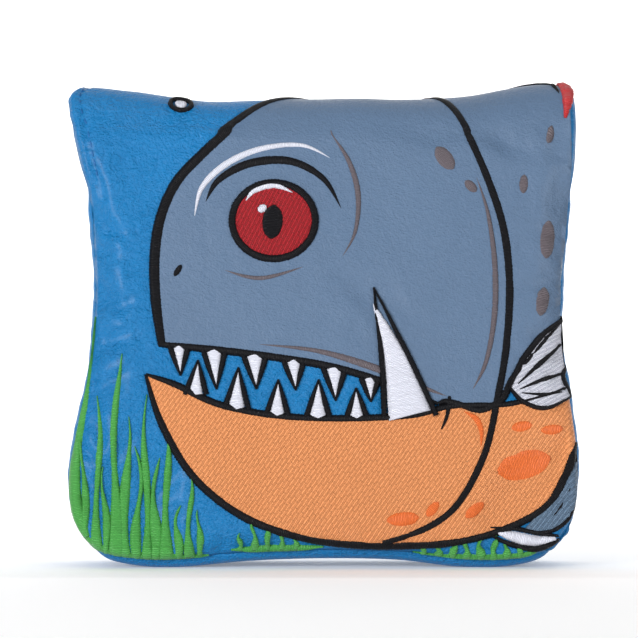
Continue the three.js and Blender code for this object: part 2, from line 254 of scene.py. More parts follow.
settle = {"across": 66, "up": 96, "steps": 20, "swell": 0.03, "pressure": 0.8, "cap": 1.2,
          "quality": 8, "mass": 0.25, "stretch": 12, "shear": 4, "bend": 0.25}
settledGrid = []


# how far the cloth simulation moved the leather here
def settled(s, l):
    if not settledGrid:
        return 0.0
    u, w = s * settle["across"], l / skinLength * settle["up"]
    i, j = min(int(u), settle["across"] - 1), min(int(w), settle["up"] - 1)
    a, b = u - i, w - j
    low, high = settledGrid[i], settledGrid[i + 1]
    a, b = a * a * (3 - 2 * a), b * b * (3 - 2 * b)
    return (low[j] * (1 - a) + high[j] * a) * (1 - b) + (low[j + 1] * (1 - a) + high[j + 1] * a) * b


def foldX(s, share):
    left, right = foldHalf(-1, share), foldHalf(1, share)
    return -left + (left + right) * s


def foldPoint(s, share, radius):
    a0, a1 = math.pi - math.atan(cover["frontLean"]), math.atan(cover["backLean"])
    angle = a0 + (a1 - a0) * share
    z = foldZ + radius * math.sin(angle) + earRise(s, share)
    return Vector((foldX(s, share), foldY + radius * math.cos(angle), z))


def flatFlap(s, t):
    top = lambda share: Vector((-65 + 130 * share, foldZ))
    return patchPoint(s, max(t, 0.0), tipLine, flapLeft, flapRight, top)


# the leather that runs up the front, over the fold and down the flap
def skinPoint(s, l, depth=0.0):
    across = min(s, 1 - s)
    if l <= foldZ:
        t = l / foldZ
        flat = flatFront(s, t)
        x, z = flat.x, flat.y
        toSide, toBase = across * span["front"], t * span["frontUp"]
        reach = skin["roundOver"]
        w = math.hypot(max(1 - toSide / reach, 0), max(1 - toBase / reach, 0))
        drop = seamDepth(z) * (1 - math.sqrt(max(1 - min(w, 1) ** 2, 0.0)))
        free = ease(z, 104, 112)
        drop += free * edgeDrop(toSide, skin["edgeRound"], 1.6)
        out = skin["puff"] * math.sin(math.pi * s) ** 0.7 * math.sin(math.pi * min(t, 0.97)) ** 0.6
        out += wrinkle(x, l) * (1 - 0.4 * free) + settled(s, l)
        out += seamPucker(min(toSide, toBase), z if toSide < toBase else x, 1.0) * (1 - free)
        out += free * stitchedEdge(toSide, l) * ease(toSide, 0, 2)
        return Vector((x, frontY(z) + drop - out + depth, z))
    if l <= foldZ + foldLength:
        share = (l - foldZ) / foldLength
        x, toSide = foldX(s, share), across * span["fold"]
        out = 0.55 * noise.noise(Vector((x / 18, l / 16, 3.1))) + 0.4 * wrinkle(x, l)
        out += stitchedEdge(toSide, l) * ease(toSide, 0, 2)
        out += 0.5 * max(settled(s, l), 0.0) - edgeDrop(toSide, skin["edgeRound"], 1.9)
        return foldPoint(s, share, cover["foldRadius"] + out - depth)
    t = 1 - (l - foldZ - foldLength) / flapLength
    flat = flatFlap(s, t)
    x, z = flat.x, flat.y
    toSide = across * span["flap"]
    toEdge = min(toSide, max(t, 0) * flapLength)
    out = 0.35 * noise.noise(Vector((x / 20, l / 24, 9.1))) + 0.6 * math.sin(math.pi * s) ** 0.6
    out += stitchedEdge(toEdge, z if toSide < t * flapLength else x) * ease(toEdge, 0, 2)
    out += settled(s, l) - edgeDrop(toEdge, skin["edgeRound"], 2.2)
    return Vector((x, flapY(z) + out - depth, z))


rimSteps = 60
downRight = [rightSide.at(1 - k / rimSteps) for k in range(rimSteps)]
alongBase = [baseLine.at(1 - k / rimSteps) for k in range(rimSteps)]
upLeft = [leftSide.at(k / rimSteps) for k in range(rimSteps + 1)]
below = lambda route: [p for p in route if p.y < cover["gussetZ"]]
rim = Route(below(downRight) + alongBase + below(upLeft))
gusset = {"roll": 5.0, "inset": 1.35, "baseInset": 1.9, "narrowing": 1.5}


# a runs from the front seam to the back one, b down the right side, under the base and up the left
def gussetPoint(a, b, depth=0.0):
    on = rim.at(b)
    out = rim.side(b)
    under = max(-out.y, 0.0) ** 2
    x, z = on.x, on.y
    yFront, yBack = frontY(z) + seamDepth(z), backY(z) - seamDepth(z)
    wide = yBack - yFront
    inset = gusset["inset"] + gusset["baseInset"] * under
    toSeam = min(a, 1 - a) * wide
    w = max(1 - toSeam / gusset["roll"], 0.0)
    offset = -inset * (1 - math.sqrt(max(1 - w * w, 0.0)))
    offset += (0.35 * noise.noise(Vector((b * rim.length / 13, a * 2.1, 4.4))) - 0.2) * (1 - under)
    offset += 0.8 * seamPucker(toSeam, b * rim.length, 2.0) * (1 - under)
    offset -= depth + gusset["narrowing"] * ease(z, 96, 112)
    return Vector((x + out.x * offset, yFront + wide * a, max(z + out.y * offset, 0.05)))


def flatBack(s, t):
    return flatFront(s, t * cover["mouthZ"] / foldZ)


def backPoint(s, t, depth=0.0):
    flat = flatBack(s, t)
    x, z = flat.x, flat.y
    toSide, toBase = min(s, 1 - s) * span["front"], t * span["backUp"]
    reach = skin["roundOver"]
    w = math.hypot(max(1 - toSide / reach, 0), max(1 - toBase / reach, 0))
    drop = seamDepth(z) * (1 - math.sqrt(max(1 - min(w, 1) ** 2, 0.0)))
    under = 1 - ease(z, 55, 66)  # held flat behind the flap
    out = under * 1.2 * math.sin(math.pi * s) ** 0.7 * math.sin(math.pi * min(t + 0.1, 1))
    out += 0.5 * under * wrinkle(x + 40, z)
    out += 0.7 * seamPucker(min(toSide, toBase), z if toSide < toBase else x, 6.0)
    return Vector((x, backY(z) - drop + out - 0.25 - depth, z))


def mappedGrid(across, up, place):
    bm = bmesh.new()
    bmesh.ops.create_grid(bm, x_segments=across, y_segments=up, size=0.5)
    for v in bm.verts:
        v.co = place(v.co.x + 0.5, v.co.y + 0.5) * mm
    bm.normal_update()
    return bm


def finishMesh(name, bm, material=None):
    mesh = bpy.data.meshes.new(name)
    bm.to_mesh(mesh)
    bm.free()
    for polygon in mesh.polygons:
        polygon.use_smooth = True
    obj = bpy.data.objects.new(name, mesh)
    bpy.context.collection.objects.link(obj)
    if material:
        mesh.materials.append(material)
    return obj


# gives a sheet its thickness inwards, keeping its outside where it is
def thicken(bm, depth):
    bm.normal_update()
    inside = [(v, v.normal * depth * mm) for v in bm.verts]
    bmesh.ops.extrude_face_region(bm, geom=bm.faces[:])
    for v, inward in inside:
        v.co -= inward


class Wire:
    # one socket, so that shader maths reads as maths

    def __init__(self, shader, socket):
        self.shader, self.socket = shader, socket

    def maths(self, kind, a, b):
        return self.shader.node("ShaderNodeMath", {"operation": kind}, {0: a, 1: b})

    def __add__(self, other):
        return self.maths("ADD", self, other)

    __radd__ = __add__

    def __mul__(self, other):
        return self.maths("MULTIPLY", self, other)

    __rmul__ = __mul__

    def __sub__(self, other):
        return self.maths("SUBTRACT", self, other)

    def __rsub__(self, other):
        return self.maths("SUBTRACT", other, self)

    def __pow__(self, other):
        return self.maths("POWER", self, other)

    def __getitem__(self, output):
        return Wire(self.shader, self.socket.node.outputs[output])


class Shader:
    def __init__(self, name, **fixed):
        self.material = bpy.data.materials.new(name)
        self.material.use_nodes = True
        self.tree = self.material.node_tree
        self.base = self.tree.nodes["Principled BSDF"]
        for socket, value in fixed.items():
            self.base.inputs[socket.replace("_", " ")].default_value = value

    def node(self, kind, settings=None, values=None, output=0):
        made = self.tree.nodes.new(kind)
        for key, value in (settings or {}).items():
            setattr(made, key, value)
        for key, value in (values or {}).items():
            self.join(value, made.inputs[key])
        return Wire(self, made.outputs[output])

    def join(self, value, socket):
        if isinstance(value, Wire):
            self.tree.links.new(value.socket, socket)
        elif isinstance(value, tuple) and len(value) == 3 and socket.type == "RGBA":
            socket.default_value = (*value, 1)
        else:
            socket.default_value = value

    def mix(self, share, a, b):
        return self.node("ShaderNodeMix", {"data_type": "RGBA"}, {0: share, 6: a, 7: b}, output=2)

    def set(self, **values):
        for key, value in values.items():
            self.join(value, self.base.inputs[key.replace("_", " ")])

    def place(self, scale=(1, 1, 1), kind="Object"):
        start = self.node("ShaderNodeTexCoord")[kind]
        return self.node("ShaderNodeMapping", None, {0: start, 3: scale})

    def noise(self, at, scale, detail, **more):
        return self.node("ShaderNodeTexNoise", None, {"Vector": at, "Scale": scale, "Detail": detail, **more})

    def bump(self, height, depth):
        return self.node("ShaderNodeBump", None, {"Height": height, "Distance": depth, "Strength": 1.0})


# scales of the grain, and bump depths in metres
grain = {"warp": 300.0, "bend": 0.0022, "cells": 1250.0, "folds": 620.0, "pores": 2600.0, "patches": 34.0}
bumpDepth = {"leather": 0.0005, "satin": 0.00016, "fill": 0.00026, "plush": 0.0009, "foam": 0.0004, "label": 0.00006}


def leather(name, colour, shade, crinkle=1.0):
    look = Shader(name, Specular_IOR_Level=0.26, Coat_Roughness=0.28)
    at = look.place(scale=(1, 1, 1.3))
    warp = look.noise(at, grain["warp"], 3.0)
    bent = look.node("ShaderNodeVectorMath", {"operation": "MULTIPLY_ADD"},
                     {0: warp["Color"], 1: (grain["bend"],) * 3, 2: at})
    cells = look.node("ShaderNodeTexVoronoi", {"feature": "SMOOTH_F1"},
                      {"Vector": bent, "Scale": grain["cells"], "Smoothness": 0.7})
    folds = look.noise(bent, grain["folds"], 4.0, Roughness=0.62)
    pores = look.noise(at, grain["pores"], 2.0)
    patches = look.noise(at, grain["patches"], 2.0)
    height = folds * (patches * 2.4 + 0.5) * crinkle + (1 - cells) * 0.7 * crinkle + pores * 0.3
    look.set(
        # the second colour, shade, is mixed in where the grain sinks, in the valleys of the folds and at the cell
        # edges, as painted shade, and in random blotches as the leather's own darker tone
        Base_Color=look.mix((1 - folds) * 0.55 + patches * 0.3 + cells * 0.2, colour, shade),
        Roughness=0.26 + patches * 0.2 + cells * 0.12,
        Coat_Weight=0.02 + patches * 0.12,
        Normal=look.bump(height, bumpDepth["leather"]),
    )
    return look.material


def satinThread(name, colour, shade, pitch=0.42, gloss=0.35, sheen=0.06):
    # satin stitch: the threads lie across the ribbon, whose UV map is in millimetres
    look = Shader(name, Specular_IOR_Level=gloss, Sheen_Weight=sheen, Sheen_Roughness=0.35)
    at = look.place(kind="UV")
    split = look.node("ShaderNodeSeparateXYZ", None, {0: at})
    jitter = look.noise(at, 0.9, 1.0)
    phase = (split + jitter * 0.5) * (2 * math.pi / pitch)
    ridge = look.node("ShaderNodeMath", {"operation": "SINE"}, {0: phase}) * 0.5 + 0.5
    each = look.node("ShaderNodeTexNoise", {"noise_dimensions": "1D"}, {"W": split * (1 / pitch), "Scale": 1.0})
    look.set(
        # darker between the threads, where the ridge sinks: painted shade in the grooves; each thread's tone also
        # varies at random
        Base_Color=look.mix((1 - ridge) * 0.5 + each * 0.4, colour, shade),
        Roughness=0.5 - ridge * 0.14 + each * 0.1,
        Normal=look.bump(ridge ** 0.6, bumpDepth["satin"]),
    )
    return look.material


def tatamiThread(name, colour, shade, length=2.3, pitch=0.5):
    # filled stitching: rows of stitches side by side like bricks
    look = Shader(name, Specular_IOR_Level=0.3, Sheen_Weight=0.05, Sheen_Roughness=0.4)
    at = look.place(kind="UV")
    split = look.node("ShaderNodeSeparateXYZ", None, {0: at})
    jitter = look.noise(at, 0.5, 2.0)
    across = split["Y"] + jitter * 0.35
    ridge = look.node("ShaderNodeMath", {"operation": "SINE"}, {0: across * (2 * math.pi / pitch)}) * 0.5 + 0.5
    bricks = look.node("ShaderNodeTexBrick", {"offset": 0.37, "offset_frequency": 2},
                       {"Vector": at, "Scale": 1.0, "Mortar Size": 0.09, "Mortar Smooth": 0.6,
                        "Brick Width": length, "Row Height": pitch * 2}, output=1)
    each = look.noise(at, 1.6, 3.0)
    look.set(
        # darker in the grooves between the rows and in the gaps at the stitch ends, where the bump sinks: painted
        # shade; each stitch's tone also varies at random
        Base_Color=look.mix((1 - ridge) * 0.45 + each * 0.3 + bricks * 0.9, colour, shade),
        Roughness=0.56 - ridge * 0.12 + each * 0.12,
        Normal=look.bump(ridge ** 0.7 - bricks * 1.1, bumpDepth["fill"]),
    )
    return look.material


def plushPile(name, colour, tip):
    look = Shader(name, Specular_IOR_Level=0.2, Sheen_Weight=0.6, Sheen_Roughness=0.5)
    at = look.place()
    tufts, clumps = look.noise(at, 900.0, 4.0), look.noise(at, 130.0, 3.0)
    look.set(
        # lighter on the raised tufts and darker in the hollows between them: painted highlight on the tufts and
        # painted shade in the hollows
        Base_Color=look.mix(tufts * 0.6 + clumps * 0.4, colour, tip),
        Roughness=0.85 + tufts * 0.12,
        Normal=look.bump(tufts + clumps * 1.6, bumpDepth["plush"]),
    )
    return look.material


def openFoam(name):
    look = Shader(name, Specular_IOR_Level=0.25)
    cells = look.node("ShaderNodeTexVoronoi", None, {"Vector": look.place(), "Scale": 1500.0})
    look.set(
        Base_Color=look.mix(cells, (0.72, 0.69, 0.6), (0.45, 0.42, 0.34)),
        Roughness=0.9 + cells * 0.08,
        Normal=look.bump(cells, bumpDepth["foam"]),
    )
    return look.material


def nickel(name):
    look = Shader(name, Metallic=1.0)
    scuff = look.noise(look.place(), 700.0, 5.0)
    look.set(Base_Color=look.mix(scuff, (0.75, 0.76, 0.78), (0.62, 0.62, 0.63)), Roughness=0.2 + scuff * 0.25)
    return look.material


def wovenSatin(name):
    look = Shader(name, Specular_IOR_Level=0.5, Sheen_Weight=0.3)
    weave = look.node("ShaderNodeTexWave", None, {"Vector": look.place(), "Scale": 900.0, "Distortion": 0.4})
    look.set(
        Base_Color=look.mix(weave, (0.86, 0.86, 0.83), (0.7, 0.7, 0.66)),
        Roughness=0.4 + weave * 0.15,
        Normal=look.bump(weave, bumpDepth["label"]),
    )
    return look.material


# each material's second colour is painted into its grooves and hollows as shade and also spread at random as its own
# darker tone; the plush's second colour is painted on its raised tufts as a highlight
skyBlue = leather("skyLeather", (0.0006, 0.165, 0.40), (0.0005, 0.105, 0.285))
slateBlue = leather("slateLeather", (0.088, 0.144, 0.232), (0.064, 0.108, 0.182), crinkle=0.35)
orangeFill = tatamiThread("orangeFill", (0.80, 0.32, 0.125), (0.58, 0.2, 0.065))
redFill = tatamiThread("redFill", (0.40, 0.010, 0.018), (0.22, 0.005, 0.008), length=2.6)
steelFill = tatamiThread("steelFill", (0.13, 0.20, 0.29), (0.07, 0.12, 0.19))
whiteFill = tatamiThread("whiteFill", (0.66, 0.67, 0.74), (0.48, 0.5, 0.6), length=3.0)
blackSatin = satinThread("blackSatin", (0.007, 0.007, 0.009), (0.003, 0.003, 0.004), gloss=0.14, sheen=0.0)
whiteSatin = satinThread("whiteSatin", (0.68, 0.69, 0.76), (0.46, 0.48, 0.58))
taupeSatin = satinThread("taupeSatin", (0.125, 0.105, 0.118), (0.075, 0.062, 0.072))
amberSatin = satinThread("amberSatin", (0.74, 0.16, 0.03), (0.5, 0.085, 0.014))
greenSatin = satinThread("greenSatin", (0.07, 0.33, 0.06), (0.03, 0.2, 0.035))
redSatin = satinThread("redSatin", (0.48, 0.022, 0.026), (0.28, 0.01, 0.012))
deepBlueThread = satinThread("deepBlueThread", (0.002, 0.115, 0.32), (0.001, 0.07, 0.22))
darkPlush = plushPile("darkPlush", (0.012, 0.014, 0.018), (0.05, 0.055, 0.065))
foam = openFoam("openFoam")
plateNickel = nickel("plateNickel")
labelSatin = wovenSatin("labelSatin")


# the leather as cloth: held along its seams, it swells a little and settles into its own wrinkles
def settleCloth():
    bm = bmesh.new()
    bmesh.ops.create_grid(bm, x_segments=settle["across"], y_segments=settle["up"], size=0.5)
    cells = [(round((v.co.x + 0.5) * settle["across"]), round((v.co.y + 0.5) * settle["up"])) for v in bm.verts]
    for v, (i, j) in zip(bm.verts, cells):
        v.co = skinPoint(i / settle["across"], j / settle["up"] * skinLength) * mm
    bm.normal_update()
    start = [(v.co.copy(), v.normal.copy()) for v in bm.verts]
    sheet = finishMesh("settling_sheet", bm)
    held = sheet.vertex_groups.new(name="held")
    edge = [k for k, (i, j) in enumerate(cells) if i in (0, settle["across"]) or j in (0, settle["up"])]
    held.add(edge, 1.0, "REPLACE")
    cloth = sheet.modifiers.new("settle", "CLOTH")
    rules = cloth.settings
    rules.quality = settle["quality"]
    rules.mass = settle["mass"]
    rules.tension_stiffness = rules.compression_stiffness = settle["stretch"]
    rules.shear_stiffness = settle["shear"]
    rules.bending_stiffness = settle["bend"]
    rules.shrink_min = rules.shrink_max = -settle["swell"]
    rules.use_pressure = True
    rules.uniform_pressure_force = settle["pressure"]
    rules.vertex_group_mass = "held"
    rules.effector_weights.gravity = 0
    cloth.collision_settings.use_collision = False
    for step in range(1, settle["steps"] + 1):
        bpy.context.scene.frame_set(step)
    shape = sheet.evaluated_get(bpy.context.evaluated_depsgraph_get()).to_mesh()
    moved = [[0.0] * (settle["up"] + 1) for _ in range(settle["across"] + 1)]
    for (i, j), (before, normal), v in zip(cells, start, shape.vertices):
        moved[i][j] = min(max((v.co - before).dot(normal) / mm, -settle["cap"]), settle["cap"])
    bpy.data.objects.remove(sheet)
    bpy.context.scene.frame_set(1)
    return moved


print("settling the leather")
settledGrid.extend(settleCloth())
flatList = [d for column in settledGrid for d in column]
print("settled", round(min(flatList), 2), round(max(flatList), 2), round(sum(flatList) / len(flatList), 2))


class Leather:
    # the skin's own grid, kept so that stitching can be laid on it by X and by L,
    # the way up the front, over the fold and down the flap

    def __init__(self, across=150, up=222):
        self.across, self.up = across, up
        self.bm = bmesh.new()
        bmesh.ops.create_grid(self.bm, x_segments=across, y_segments=up, size=0.5)
        self.grid = [[None] * (up + 1) for _ in range(across + 1)]
        places = []
        for v in self.bm.verts:
            s, t = v.co.x + 0.5, v.co.y + 0.5
            point = skinPoint(s, t * skinLength)
            v.co = point * mm
            places.append((v, round(s * across), round(t * up), self.plan(point, t * skinLength)))
        self.bm.normal_update()
        for v, i, j, plan in places:
            self.grid[i][j] = (v.co / mm, v.normal.copy(), plan)

    @staticmethod
    def plan(point, l):
        if l <= foldZ:
            return Vector((point.x, point.z))
        if l <= foldZ + foldLength:
            return Vector((point.x, l))
        return Vector((point.x, foldZ + foldLength + foldZ - point.z))

    def between(self, s, l):
        u, w = s * self.across, l / skinLength * self.up
        i, j = min(int(u), self.across - 1), min(int(w), self.up - 1)
        a, b = u - i, w - j
        low, high = self.grid[i], self.grid[i + 1]
        return [
            (p * (1 - a) + q * a) * (1 - b) + (r * (1 - a) + t * a) * b
            for p, q, r, t in zip(low[j], high[j], low[j + 1], high[j + 1])
        ]

    def at(self, x, l):
        s, m = 0.5 + x / 139, l
        for _ in range(4):
            s, m = min(max(s, 0.004), 0.996), min(max(m, 0.6), skinLength - 0.6)
            point, normal, plan = self.between(s, m)
            s += (x - plan.x) / 135
            m += l - plan.y
        return point, normal


def onLeather(x, l, lift):
    point, normal = leatherGrid.at(x, l)
    return (point + normal * lift) * mm


print("skin")
leatherGrid = Leather()
thicken(leatherGrid.bm, skin["thickness"])
coverSkin = finishMesh("leather_front_and_flap", leatherGrid.bm, skyBlue)

print("gusset and back")


# a shell of the given thickness; facing says which way its first face should look
def shell(name, across, up, place, depth, look, facing):
    bm = mappedGrid(across, up, place)
    looking = sum((f.normal.dot(Vector(facing(f.calc_center_median()))) * f.calc_area() for f in bm.faces))
    if looking < 0:
        bmesh.ops.reverse_faces(bm, faces=bm.faces)
    thicken(bm, depth)
    return finishMesh(name, bm, look)


def fromMiddle(point):
    return point - Vector((0, point.y, 0.06))


def toMiddle(point):
    return Vector((0, point.y, 0.06)) - point


gussetBand = shell("gusset_leather", 40, 330, gussetPoint, 1.0, skyBlue, fromMiddle)
backPanel = shell("back_leather", 130, 110, backPoint, 1.0, skyBlue, lambda p: (0, 1, 0))


def outFromFold(point):
    return Vector((0, point.y - foldY * mm, point.z - foldZ * mm if point.z > foldZ * mm else 0))


print("padding and lining")
layers = {
    "underLeather": 1.45,   # from the outside of the leather to the foam
    "foam": 1.8,
    "flapFoam": 1.5,
    "liningFace": 5.1,      # from the outside of the leather to the lining's face
    "creaseFace": 2.4,      # the same at the crease, where the lining is caught to the leather
    "flapLiningFace": 4.3,
    "lining": 1.0,
    "pile": 0.16,
}


def pile(x, y):
    tufts = noise.noise(Vector((x * 1.3, y * 1.3, 3))) + 0.8 * noise.noise(Vector((x / 5, y / 5, 8)))
    return layers["pile"] * tufts


# the same sheet with no seams or creases in it; towards a free edge the layers close up on the leather
def plainPoint(s, l, depth, edgeDepth):
    free = ease(l, 100, 112)
    toEdge = min(s, 1 - s) * span["fold"]
    if l > foldZ + foldLength:
        toEdge = min(toEdge, skinLength - l)
    depth -= (depth - edgeDepth) * free * (1 - ease(toEdge, 2.5, 10))
    if l <= foldZ:
        flat = flatFront(s, l / foldZ)
        return Vector((flat.x, frontY(flat.y) + depth + pile(flat.x, flat.y), flat.y))
    if l <= foldZ + foldLength:
        share = (l - foldZ) / foldLength
        return foldPoint(s, share, cover["foldRadius"] - depth - pile(foldX(s, share), l))
    flat = flatFlap(s, 1 - (l - foldZ - foldLength) / flapLength)
    return Vector((flat.x, flapY(flat.y) - depth - pile(flat.x, flat.y), flat.y))


def plainBack(s, t, depth):
    flat = flatBack(s, t)
    return Vector((flat.x, backY(flat.y) - depth - pile(flat.x, flat.y), flat.y))


def plainGusset(a, b, depth):
    on, out = rim.at(b), rim.side(b)
    low, high = frontY(on.y) + 4.4, backY(on.y) - 4.4
    inset = depth + pile(b * rim.length, a * 25)
    return Vector((on.x - out.x * inset, low + (high - low) * a, on.y - out.y * inset))


def along(u, low, high):
    return low + (high - low) * u


# the foam stops short of the crease
def liningDepth(l):
    if l < foldZ + 2:
        return along(ease(l, 92, 115), layers["liningFace"], layers["creaseFace"])
    return along(ease(l, foldZ + 3, foldZ + 13), layers["creaseFace"], layers["flapLiningFace"])


def frontFoamPlace(u, v):
    return skinPoint(along(u, 0.03, 0.97), along(v, 4.6, 98), layers["underLeather"])


def flapFoamPlace(u, v):
    return skinPoint(along(u, 0.065, 0.935), along(v, foldZ + 13, skinLength - 9), layers["underLeather"])


def liningPlace(u, v):
    l = along(v, 5.0, skinLength - 2.6)
    margin = along(ease(l, 100, 112), 0.034, 0.021)
    return plainPoint(along(u, margin, 1 - margin), l, liningDepth(l), 2.3)


frontFoam = shell("front_foam", 84, 76, frontFoamPlace, layers["foam"], foam, lambda p: (0, -1, 0))
flapFoam = shell("flap_foam", 76, 60, flapFoamPlace, layers["flapFoam"], foam, outFromFold)
frontLining = shell("front_and_flap_lining_plush", 96, 170, liningPlace, layers["lining"], darkPlush,
                    lambda p: -outFromFold(p))
backFoam = shell("back_foam", 90, 70, lambda u, v: backPoint(along(u, 0.03, 0.97), along(v, 0.045, 0.985),
                 layers["underLeather"]), layers["foam"], foam, lambda p: (0, 1, 0))
gussetFoam = shell("gusset_foam", 20, 220, lambda u, v: gussetPoint(along(u, 0.14, 0.86), along(v, 0.02, 0.98),
                   layers["underLeather"]), layers["foam"], foam, fromMiddle)
backLining = shell("back_lining_plush", 90, 70, lambda u, v: plainBack(along(u, 0.034, 0.966), along(v, 0.045, 0.995),
                   layers["liningFace"]), layers["lining"], darkPlush, lambda p: (0, -1, 0))
gussetLining = shell("gusset_lining_plush", 18, 220, lambda u, v: plainGusset(u, along(v, 0.004, 0.996),
                     layers["liningFace"]), layers["lining"], darkPlush, toMiddle)

print("hems")
hem = {"leg": 5.2, "rise": 1.7, "thickness": 0.7, "ripple": 0.12, "flat": 0.32}


# a tape turned over a wall's top edge; edge gives the wall's outer and inner points and the way out
def hemTape(name, rows, edge, look):
    def place(q, v):
        outer, inner = edge(v)
        middle, half = (outer + inner) / 2, (outer - inner) / 2
        if q < hem["flat"]:
            return middle + half + Vector((0, 0, -hem["leg"] * (1 - q / hem["flat"])))
        if q > 1 - hem["flat"]:
            return middle - half + Vector((0, 0, -hem["leg"] * (q - 1 + hem["flat"]) / hem["flat"]))
        turn = math.pi * (q - hem["flat"]) / (1 - 2 * hem["flat"])
        ripple = hem["ripple"] * noise.noise(Vector((v * 40, q * 3, 1)))
        return middle + half * math.cos(turn) + Vector((0, 0, (hem["rise"] + ripple) * math.sin(turn)))

    return shell(name, 22, rows, place, hem["thickness"], look, lambda p: p - Vector(wallBelow(p)))


# a point inside the wall below the tape, which the tape's outside faces away from
def wallBelow(point):
    if abs(point.x) < 0.064:
        return point.x, (backY(cover["mouthZ"]) - 2.6) * mm, (cover["mouthZ"] - 3) * mm
    return math.copysign(0.0664, point.x), point.y, (cover["gussetZ"] - 3) * mm


def mouthEdge(v):
    x, z = along(v, -63.2, 63.2), cover["mouthZ"] - 0.2
    pull = 0.15 * noise.noise(Vector((x / 9, 4, 4)))
    return Vector((x, backY(z) + 0.45 + pull, z)), Vector((x, backY(z) - 5.75, z))


def gussetEdge(hand):
    route = rightSide if hand > 0 else leftSide

    def edge(v):
        z = cover["gussetZ"] - 0.2
        side = abs(route.at(z / foldZ).x)
        y = along(v, frontY(z) + 4.9, backY(z) - 4.9)
        return Vector((hand * (side - 1.9), y, z)), Vector((hand * (side - 5.9), y, z))

    return edge


mouthTape = hemTape("mouth_hem_tape", 150, mouthEdge, skyBlue)
rightTape = hemTape("gusset_hem_tape_right", 16, gussetEdge(1), skyBlue)
leftTape = hemTape("gusset_hem_tape_left", 16, gussetEdge(-1), skyBlue)


# closes a flat sheet of X, L and rise into a layer, then lays it on the leather
def layOnLeather(bm, lift, thickness):
    lower = set(bm.verts)
    bmesh.ops.extrude_face_region(bm, geom=bm.faces[:])
    for v in bm.verts:
        v.co = onLeather(v.co.x, v.co.y, lift + v.co.z - (thickness if v in lower else 0))


# a flat UV map in millimetres, turned so that the stitches run at the angle
def turnStitches(bm, angle):
    uv = bm.loops.layers.uv.new("UVMap")
    c, s = math.cos(angle), math.sin(angle)
    for face in bm.faces:
        for loop in face.loops:
            x, l = loop.vert.co.x, loop.vert.co.y
            loop[uv].uv = (x * c + l * s, l * c - x * s)


sunkEdge = 0.3   # how far a patch's rim sinks, as a share of its thickness


# an outline filled with cloth or stitching
def fillPatch(name, outline, look, lift, thickness, angle=0.0, cell=1.8):
    bm = bmesh.new()
    corners = [bm.verts.new((p[0], p[1], 0)) for p in outline]
    bmesh.ops.contextual_create(bm, geom=corners)
    bmesh.ops.triangulate(bm, faces=bm.faces[:], ngon_method="EAR_CLIP")
    low = [min(v.co[k] for v in bm.verts) for k in (0, 1)]
    high = [max(v.co[k] for v in bm.verts) for k in (0, 1)]
    for axis in (0, 1):
        normal = Vector((1 - axis, axis, 0))
        for k in range(1, int((high[axis] - low[axis]) / cell) + 1):
            cut = normal * (low[axis] + k * cell)
            whole = bm.verts[:] + bm.edges[:] + bm.faces[:]
            bmesh.ops.bisect_plane(bm, geom=whole, plane_co=cut, plane_no=normal)
    bm.normal_update()
    if sum(f.normal.z for f in bm.faces) < 0:
        bmesh.ops.reverse_faces(bm, faces=bm.faces)
    turnStitches(bm, angle)
    for v in {v for e in bm.edges if e.is_boundary for v in e.verts}:
        v.co.z = -sunkEdge * thickness
    layOnLeather(bm, lift, thickness)
    return finishMesh(name, bm, look)


# the same, filled between an upper and a lower line that both run from left to right
def fillBetween(name, upper, lower, look, lift, thickness, angle, across=110, up=36):
    top, bottom = Route(upper), Route(lower)
    bm = bmesh.new()
    bmesh.ops.create_grid(bm, x_segments=across, y_segments=up, size=0.5)
    for v in bm.verts:
        u, w = v.co.x + 0.5, v.co.y + 0.5
        place = bottom.at(u) * (1 - w) + top.at(u) * w
        v.co = (place.x, place.y, -sunkEdge * thickness if min(u, w, 1 - u, 1 - w) < 1e-4 else 0)
    turnStitches(bm, angle)
    layOnLeather(bm, lift, thickness)
    return finishMesh(name, bm, look)


ribbon = {"step": 0.42, "across": 6, "top": 1.0, "edge": -0.1, "ragged": 0.16, "stagger": 0.07, "dome": 2.6}


# one run of satin stitch through points of X, L and width, domed between its two edges
def ribbonMesh(bm, uv, stitch):
    route = Route(stitch["points"], stitch.get("closed", False))
    rows = max(int(route.length / ribbon["step"]), 6)
    top, edge = stitch.get("top", ribbon["top"]), stitch.get("edge", ribbon["edge"])
    verts = bmesh.ops.create_grid(bm, x_segments=rows, y_segments=ribbon["across"], size=0.5)["verts"]
    flat = {}
    for v in verts:
        t, a = v.co.x + 0.5, v.co.y * 2
        at, out = route.at(t), route.side(t)
        width = at.z * 0.5
        row = round(t * rows)
        ragged = ribbon["ragged"] * noise.noise(Vector((row * 1.7, at.x * 0.31, 2.0)))
        ragged += ribbon["stagger"] if row % 2 else -ribbon["stagger"]
        reach = a * (width + ragged * min(width, 1))
        dome = (1 - abs(a) ** ribbon["dome"]) ** 0.5
        flat[v] = (t * route.length, reach)
        crown = edge + (top - edge) * min(1.0, 0.45 + width / 1.2)
        v.co = (at.x + out.x * reach, at.y + out.y * reach, edge + (crown - edge) * dome)
    for face in {f for v in verts for f in v.link_faces}:
        for loop in face.loops:
            loop[uv].uv = flat[loop.vert]


def satinPiece(name, look, groups):
    bm = bmesh.new()
    uv = bm.loops.layers.uv.new("UVMap")
    for stitch in groups:
        ribbonMesh(bm, uv, stitch)
    layOnLeather(bm, 0, 0.25)
    return finishMesh(name, bm, look)


def run(*points, **more):
    return {"points": list(points), **more}


# an oval of satin stitch
def spot(x, l, long, wide, angle=0.0, **more):
    c, s = math.cos(angle), math.sin(angle)
    points = []
    for k in range(9):
        t = -1 + k / 4
        points.append((x + c * long * t / 2, l + s * long * t / 2, wide * math.sqrt(max(1 - t * t, 0.02))))
    return {"points": points, **more}


